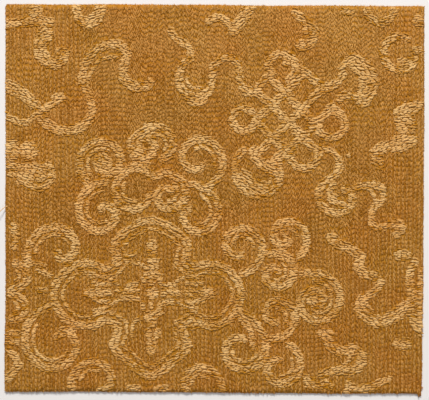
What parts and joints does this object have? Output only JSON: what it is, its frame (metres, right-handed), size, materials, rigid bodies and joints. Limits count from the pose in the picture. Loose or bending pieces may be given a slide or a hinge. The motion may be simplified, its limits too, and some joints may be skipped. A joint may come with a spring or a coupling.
{
  "type": "textile fragment",
  "caption": "Flat rectangular cut piece of golden-brown figured silk with cloud scrolls, a lobed medallion and an endless knot woven into its face.",
  "frame": {"origin": "middle of the flat back, which lies on the surface", "axes": "+X along the longer cut edge, to the right as the ornament is read; +Y towards the ornament's top edge; +Z out of the woven face"},
  "size_m": [0.1048, 0.098, 0.0012],
  "materials": {
    "silk": "matte"
  },
  "bodies": {
    "root": {"cloth": "silk"}
  },
  "joints": []
}
